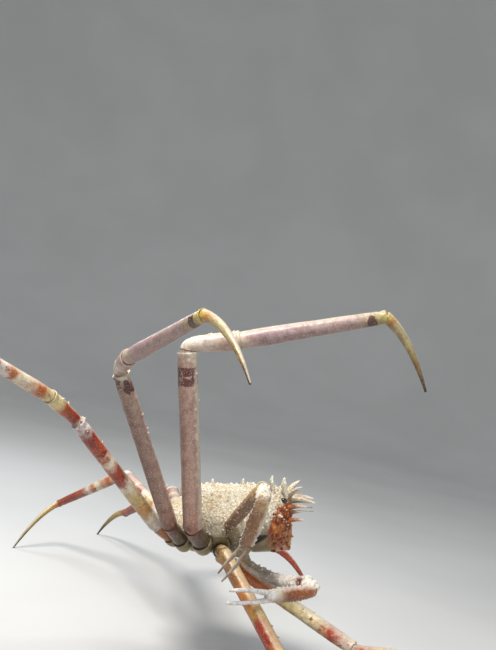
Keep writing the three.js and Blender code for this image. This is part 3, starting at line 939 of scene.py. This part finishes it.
def underside_skin():
    skin = Skin()
    s, half, top, bottom, middle = body_rings(UNDER_ROWS)
    start = np.minimum(SHELL_SPLIT + 0.004, top - 0.004)
    depth = np.clip((middle - start) / (middle - bottom), 0, 0.98)
    low = np.arcsin(depth ** (1 / DOME_POWER))
    angle = -low[:, None] - (np.pi - 2 * low)[:, None] * np.linspace(0, 1, UNDER_SIDES)[None, :]
    c, n = np.cos(angle), np.sin(angle)
    y = np.sign(c) * np.abs(c) ** EDGE_POWER * half[:, None] * UNDER_INSET
    z = middle[:, None] + (bottom - middle)[:, None] * np.abs(n) ** DOME_POWER * 0.985
    x = np.repeat(s[:, None] * SHELL_HALF_LENGTH, UNDER_SIDES, 1)
    z += 0.003 * sum(hump(x + 0.25 * np.abs(y), groove, 0.004) for groove in (-0.05, -0.01, 0.03, 0.07))
    grid = np.stack([x, y, z], 2)
    t = np.linspace(0.1, 0.9, UNDER_CLOSING)[None, :, None]
    chord = grid[:, -1:, :] * (1 - t) + grid[:, :1, :] * t
    ring = np.concatenate([grid, chord], 1)
    body = close_grid(ring)
    face = np.clip((body[:, 0] - 0.084 + 0.6 * np.minimum(0, body[:, 2] + 0.036)) / 0.03, 0, 1)
    level = body[:, 2] - HOLLOW_SLOPE * (body[:, 0] - HOLLOW[0])
    hollow = hump(body[:, 0], HOLLOW[0], HOLLOW_SIZE[0]) * hump(level, HOLLOW[1], HOLLOW_SIZE[1])
    body[:, 1] *= 1 - HOLLOW_DEPTH * hollow
    faces = grid_faces(UNDER_ROWS, UNDER_SIDES + UNDER_CLOSING)
    skin.add(clear_of_limbs(to_whole(body)), faces, 0, OPEN_AIR - 1.6 * hollow, face)
    face_lumps(skin)
    for kind in HIPS:
        for side in SIGNS:
            hip_stub(skin, kind, side)
    return skin


STUB_RADII = (0.95, 1.1, 1.12, 0.94, 1.06, 0.98)
STUB_RINGS = 44
STUB_DEPTH = 0.062


def hip_stub(skin, kind, side):
    """The hip that carries a limb, from inside the body out to the limb's root."""
    hip_x, hip_y, hip_z = HIPS[kind]
    points, ways = limb_joints(kind, side)
    inner = body_point(hip_x, SIGNS[side] * (hip_y - STUB_DEPTH), hip_z + 0.004)
    path = smooth_path([inner, points[0] - ways[0] * 0.014, points[0] + ways[0] * 0.002], STUB_RINGS)
    swell = MERUS_RADIUS[kind] * shares_along(STUB_RADII, path)
    sweep(skin, path, swell, cup=True, sides=40, lump=0.05, seed=hip_x * 90)
    skin.values[-1][:, 1] = OPEN_AIR


# The tail flap: its ends along the body and their levels, its thickness, and how many times as wide
FLAP_REAR = (-0.112, -0.046)
FLAP_FRONT = (0.008, -0.068)
FLAP_RADIUS = 0.008
FLAP_WIDENING = 3.5
FLAP_SEGMENTS = 6.6
FLAP_RINGS = 90


def abdomen_skin():
    skin = Skin()
    x, z = (np.linspace(rear, front, FLAP_RINGS) for rear, front in zip(FLAP_REAR, FLAP_FRONT))
    path = np.stack([x, np.zeros(FLAP_RINGS), z], 1)
    t = np.linspace(0, 1, FLAP_RINGS)
    dome = np.sqrt(np.maximum(0.02, 1 - (2 * (0.06 + 0.88 * t) - 1) ** 2))
    seams = 1 - 0.1 * hump((t * FLAP_SEGMENTS) % 1, 0.5, 0.08)
    sweep(skin, to_whole(path), FLAP_RADIUS * dome * seams, flat=FLAP_WIDENING, lump=0.02, sides=72)
    skin.values[-1][:, 1] = OPEN_AIR
    return skin


def mirrored(knots, sign):
    """The knots of a left piece, or of its like on the right."""
    return [(x, sign * y, z) for x, y, z in knots]


EYE_KNOTS = ((0.118, 0.040, 0.050), (0.130, 0.046, 0.0518), (0.141, 0.051, 0.053))
EYE_RADIUS = 0.007
EYE_SHARES = (0.62, 0.6, 0.72, 1, 1, 0.8, 0.3)
EYE_RINGS = 40


def eye_skin(sign):
    skin = Skin()
    path = to_whole(smooth_path(mirrored(EYE_KNOTS, sign), EYE_RINGS))
    t = np.linspace(0, 1, EYE_RINGS)
    sweep(skin, path, EYE_RADIUS * spline(EYE_SHARES)(t), lump=0.0, grain=0.00005, tint=t)
    return skin


FEELER_KNOTS = ((0.128, 0.019, 0.026), (0.166, 0.022, 0.0256), (0.203, 0.025, 0.025))
FEELER_RADIUS = 0.0046
FEELER_RINGS = 160
FEELER_JOINTS = 40


def feeler_skin(sign):
    skin = Skin()
    path = to_whole(smooth_path(mirrored(FEELER_KNOTS, sign), FEELER_RINGS))
    t = np.linspace(0, 1, FEELER_RINGS)
    rings = 1 + 0.09 * np.sin(2 * np.pi * FEELER_JOINTS * t)
    radii = FEELER_RADIUS * (1 - 0.8 * np.minimum(1, t * 2.2)) * rings
    sweep(skin, path, radii, (4.2, 4.7), sides=20, lump=0.02)
    return skin


# The mouth plates, from their top down
MOUTH_TOP = (0.1405, 0.0155, 0.014)
MOUTH_FALL = 0.076
MOUTH_SLANT = 0.004
MOUTH_RADIUS = 0.0142
MOUTH_RINGS = 70


def mouth_skin(sign):
    skin = Skin()
    t = np.linspace(0, 1, MOUTH_RINGS)
    x, y, z = MOUTH_TOP
    path = np.stack([x - MOUTH_SLANT * t, np.full(MOUTH_RINGS, sign * y), z - MOUTH_FALL * t], 1)
    dome = np.sqrt(1 - (2 * (0.1 + 0.8 * t) - 1) ** 2)
    radii = MOUTH_RADIUS * dome * (1 - 0.12 * hump(t, 0.42, 0.03))
    laid = sweep(skin, to_whole(path), radii, lump=0.05, grain=0.0006, seed=60 + sign)
    granules(skin, laid, 80, 0.0018, 0.8)
    granules(skin, laid, 16, 0.0036, 1.2, rows=(0.05, 0.97), over=(0.25, 0.09))
    return skin


# The camera and the light

CAMERA_SPOT = Vector((-0.0415, -2.4, 0.77))
FOCAL_PIXELS = 1043.5
FRAME_HEIGHT = 650


def add_camera():
    data = bpy.data.cameras.new("camera")
    data.sensor_fit = "VERTICAL"
    data.angle = 2 * math.atan(FRAME_HEIGHT / 2 / FOCAL_PIXELS)
    camera = add_object("camera", data)
    right = Vector((math.cos(NOSE_UP), 0, math.sin(NOSE_UP)))
    up = Vector((-math.sin(NOSE_UP), 0, math.cos(NOSE_UP)))
    turn = Matrix((right, up, Vector((0, -1, 0)))).transposed()
    camera.matrix_world = Matrix.Translation(CAMERA_SPOT + SHIFT) @ turn.to_4x4()
    bpy.context.scene.camera = camera


# Each light's place, the level that it points at, its size, power and colour
LIGHTS = {
    "key": ((-0.9, -1.1, 2.9), 0.4, 1.1, 94, (1.0, 0.97, 0.92)),
    "fill": ((1.6, -2.6, 1.3), 0.4, 2.2, 19, (0.9, 0.95, 1.0)),
    "rim": ((-1.4, 1.5, 1.9), 0.5, 1.2, 24, (0.85, 0.92, 1.0)),
}


def add_lights():
    for name, (spot, level, size, power, colour) in LIGHTS.items():
        data = bpy.data.lights.new(name, "AREA")
        data.shape = "DISK"
        data.size = size
        data.energy = power
        data.color = colour
        spot, target = Vector(spot) + SHIFT, Vector((0, 0, level)) + SHIFT
        turn = (target - spot).to_track_quat("-Z", "Y").to_matrix().to_4x4()
        add_object(name, data).matrix_world = Matrix.Translation(spot) @ turn


FLOOR_RADIUS = 5.2
WALL_ROUND = 3.0
WALL_TOP = 6.0
STAGE_SIDES = 96
FLAT_STEPS = 4
CURVE_STEPS = 16


def add_stage():
    """A round floor that rises all the way round in one smooth curve, so that every view has it behind."""
    steps = [(WALL_TOP, FLOOR_RADIUS + WALL_ROUND)]
    for a in np.linspace(math.pi / 2, 0, CURVE_STEPS + 1):
        steps.append((WALL_ROUND * (1 - math.cos(a)), FLOOR_RADIUS + WALL_ROUND * math.sin(a)))
    steps += [(0, FLOOR_RADIUS * k / FLAT_STEPS) for k in range(FLAT_STEPS - 1, 0, -1)]
    points, faces = cone_shape(STAGE_SIDES, steps, 0)
    mesh = bpy.data.meshes.new("floor")
    mesh.from_pydata(points.tolist(), [], faces)
    mesh.polygons.foreach_set("use_smooth", [True] * len(faces))
    n = Nodes("studio", roughness=0.9)
    shade = n.ramp(n.noise(1.2, 2), {0.3: 0xD3D2CF, 0.7: 0xDAD9D6})
    mesh.materials.append(n.finish(shade))
    floor = add_object("floor", mesh)


WORLD_COLOUR = (0.86, 0.92, 1.0, 1)
WORLD_STRENGTH = 0.42


def add_world():
    world = bpy.data.worlds.new("studio")
    world.use_nodes = True
    background = world.node_tree.nodes["Background"]
    background.inputs["Color"].default_value = WORLD_COLOUR
    background.inputs["Strength"].default_value = WORLD_STRENGTH
    bpy.context.scene.world = world
    bpy.context.scene.view_settings.view_transform = "Standard"


# The colours of each limb, by the place along it, from 0 at its root to 5 at its tip: a piece for each 1

# For the pale legs, the brown-olive from the root through the ischium (0 to 0.8) is painted shade under the
# body
PALE_BANDS = {
    0.0: 0x5E5038, 0.8: 0x75604C, 0.98: 0x7C4A40, 1.05: 0xA67C6C, 1.14: 0xA8887A, 1.6: 0xA3857A,
    1.93: 0xB09484, 2.02: 0xE8DECC, 2.4: 0xE2D4C6, 2.8: 0xC4A89A, 3.0: 0xD8C4B0, 3.15: 0xB4989A,
    3.75: 0xB89E98, 3.9: 0xB8A484, 3.98: 0xC9BC6C, 4.04: 0xE0C060, 4.12: 0xB8803A, 4.2: 0xC6B88A,
    4.45: 0xB4A474, 4.75: 0x947A44, 4.93: 0x5E4222, 5.0: 0x2A1A12,
}


def pale_patches(knee):
    """Dark patches below the knee and at the far end of the shin."""
    return {0.0: 0.1, 1.0: 0.3, 1.2: 0.2, knee - 0.08: 0.3, knee - 0.05: 1.02, knee + 0.04: 1.02,
            knee + 0.07: 0.2, 2.05: 0.1, 3.84: 0.1, 3.88: 1.1, 3.92: 1.1, 3.95: 0.2, 4.0: 0.0}


RED_BANDS = {
    0.0: 0xA8622C, 0.8: 0xC48248, 0.96: 0xF6F2E8, 1.1: 0xF2E8D4, 1.16: 0xCF9A54, 1.3: 0xE2C98C,
    1.42: 0xF4EAD4, 1.48: 0xA43818, 1.58: 0xB64A24, 1.65: 0xF2E4CC, 1.73: 0xBE5632, 1.9: 0x9A2C14,
    1.98: 0xF6F4F0, 2.1: 0xECE6DE, 2.18: 0x96280F, 2.6: 0xB8501E, 2.8: 0xE6D49A, 3.0: 0xEBDCA6,
    3.12: 0xC4621E, 3.3: 0xF0E4C8, 3.38: 0xC4722A, 3.46: 0xF4F0E6, 3.55: 0xB45422, 3.8: 0x9C3618,
    4.0: 0xB05A28, 4.2: 0xC2A048, 4.6: 0x9C9044, 4.9: 0x5C4020, 5.0: 0x2A170D,
}
RED_PATCHES = {
    0.0: 0.1, 1.2: 0.5, 1.5: 0.1, 1.7: 0.6, 2.1: 0.6, 2.6: 0.1, 3.2: 0.6, 3.6: 0.5, 4.0: 0.0,
}

# What the orange and the dusky limbs share below the knee
FAR_BANDS = {
    2.0: 0xF0E4CE, 2.3: 0xC05C2A, 2.7: 0xE8C888, 3.0: 0xEFE2CC, 3.3: 0xB84E22, 3.6: 0xE6C98C, 3.9: 0xB04A20,
    5.0: 0x2A170D,
}
ORANGE_BANDS = {
    0.0: 0xA8622C, 0.7: 0xC8803A, 1.0: 0xD8A860, 1.15: 0xB85424, 1.4: 0xC87434, 1.5: 0xE4CE8A,
    1.74: 0xEEE2B4, 1.84: 0xBC4218, 4.1: 0xA8301C, 4.6: 0xB04224, 4.9: 0x6E2C18, **FAR_BANDS,
}
DUSKY_BANDS = {
    0.0: 0x6E5A38, 1.0: 0x94743E, 1.15: 0x8E5E30, 1.34: 0xBC7430, 1.42: 0xD2A04E, 1.48: 0xA83818,
    1.6: 0x9E3014, 1.7: 0xD49A4C, 1.85: 0xB84A20, 4.1: 0xD0A860, 4.6: 0xB08A40, 4.9: 0x6E4A20, **FAR_BANDS,
}
CLAW_R_BANDS = {
    0.0: 0x7E7650, 0.8: 0x94805C, 1.1: 0x8E6A4A, 1.6: 0x9C7450, 1.9: 0xC29A5E, 1.98: 0xE8D27A,
    2.15: 0xF8F2E4, 2.8: 0xF2EAD8, 3.05: 0xB8946A, 3.3: 0x94683E, 3.8: 0x8A6444, 4.1: 0xA8937A,
    4.6: 0xC8BCA8, 5.0: 0xB89468,
}
CLAW_L_BANDS = {
    0.0: 0xB08428, 0.8: 0xC4882E, 1.05: 0xC0A06A, 1.2: 0xB8AA98, 1.6: 0x9A9088, 1.72: 0xEEEAE2,
    1.88: 0xF6F2EC, 1.95: 0x7E1C14, 2.07: 0x6A1812, 2.14: 0xFAF6EE, 2.9: 0xF4ECDC, 3.05: 0xB5662C,
    3.6: 0xA05A28, 3.8: 0xE6D4BC, 3.95: 0xFFFDF8, 4.8: 0xFFFFFF, 5.0: 0xFFFBF2,
}
CLAW_PATCHES = {0.0: 0.1, 1.1: 0.4, 1.9: 0.1, 3.2: 0.4, 3.7: 0.2, 4.0: 0.0}
MAROON = 0x4E1216
RED = 0x8E260F

pale = limb_material("pale_limb", PALE_BANDS, pale_patches(1.87), MAROON, 0.16, 0xB0562A)
pale_back = limb_material("pale_limb_back", PALE_BANDS, pale_patches(1.94), MAROON, 0.2, 0xB0562A)
banded = limb_material("red_limb", RED_BANDS, RED_PATCHES, RED, 0.3, 0xA8431F)
orange = limb_material("orange_limb", ORANGE_BANDS, RED_PATCHES, RED, 0.3, 0xB8501F)
dusky = limb_material("dusky_limb", DUSKY_BANDS, RED_PATCHES, RED, 0.35, 0x7A3A1A, 0xE8D2A4)
claw_r = limb_material("claw_right", CLAW_R_BANDS, CLAW_PATCHES, 0x7A4A30, 0.35, 0x8A5632, 0xF2E8D6)
claw_l = limb_material("claw_left", CLAW_L_BANDS, CLAW_PATCHES, MAROON, 0.25, 0xA8602E, 0xF4EEE2)
LIMB_LOOKS = {
    "cheliped_R": claw_r, "cheliped_L": claw_l, "leg2_R": dusky, "leg3_R": pale, "leg4_R": pale_back,
    "leg2_L": orange, "leg3_L": orange,
}
membrane = membrane_material()


def add_piece(skin, name, material, replaced=True):
    """Makes the piece from its skin. A piece in place of a node is named after it."""
    piece = skin.build(name + "_skin" if replaced else name, material)
    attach(piece, "root")
    if replaced:
        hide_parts(name)


def add_legs():
    for kind in LENGTHS:
        for side in SIGNS:
            limb = kind + "_" + side
            points, ways = limb_joints(kind, side)
            look = LIMB_LOOKS.get(limb, banded)
            bare_joints = 2 if kind == "cheliped" else len(JOINT_RADII)
            soft = joint_skin(points, ways, MERUS_RADIUS[kind], bare_joints)
            add_piece(soft, limb + "_joints", membrane, replaced=False)
            if kind == "cheliped":
                for piece, skin in claw_skins(side, points, ways).items():
                    add_piece(skin, limb + "_" + piece, look)
                continue
            for index, piece in enumerate(PIECES):
                skin = leg_skin(kind, side, piece, index, points, ways)
                add_piece(skin, limb + "_" + piece, look)


def add_body():
    shell = shell_material()
    under = underside_material()
    add_piece(carapace_skin(), "carapace", shell)
    add_piece(spines_skin(), "carapace_spines", shell, replaced=False)
    add_piece(underside_skin(), "thorax", under)
    add_piece(abdomen_skin(), "abdomen", under)
    pairs = (("eye_", eye_skin, "eye", eye_material()), ("antenna_", feeler_skin, "leg_tip", banded),
             ("maxilliped_", mouth_skin, "mouth", mouth_material()))
    for side, sign in SIGNS.items():
        for start, make, slot, material in pairs:
            add_piece(make(sign), start + side, material)


add_camera()
add_world()
add_stage()
add_lights()
add_legs()
add_body()
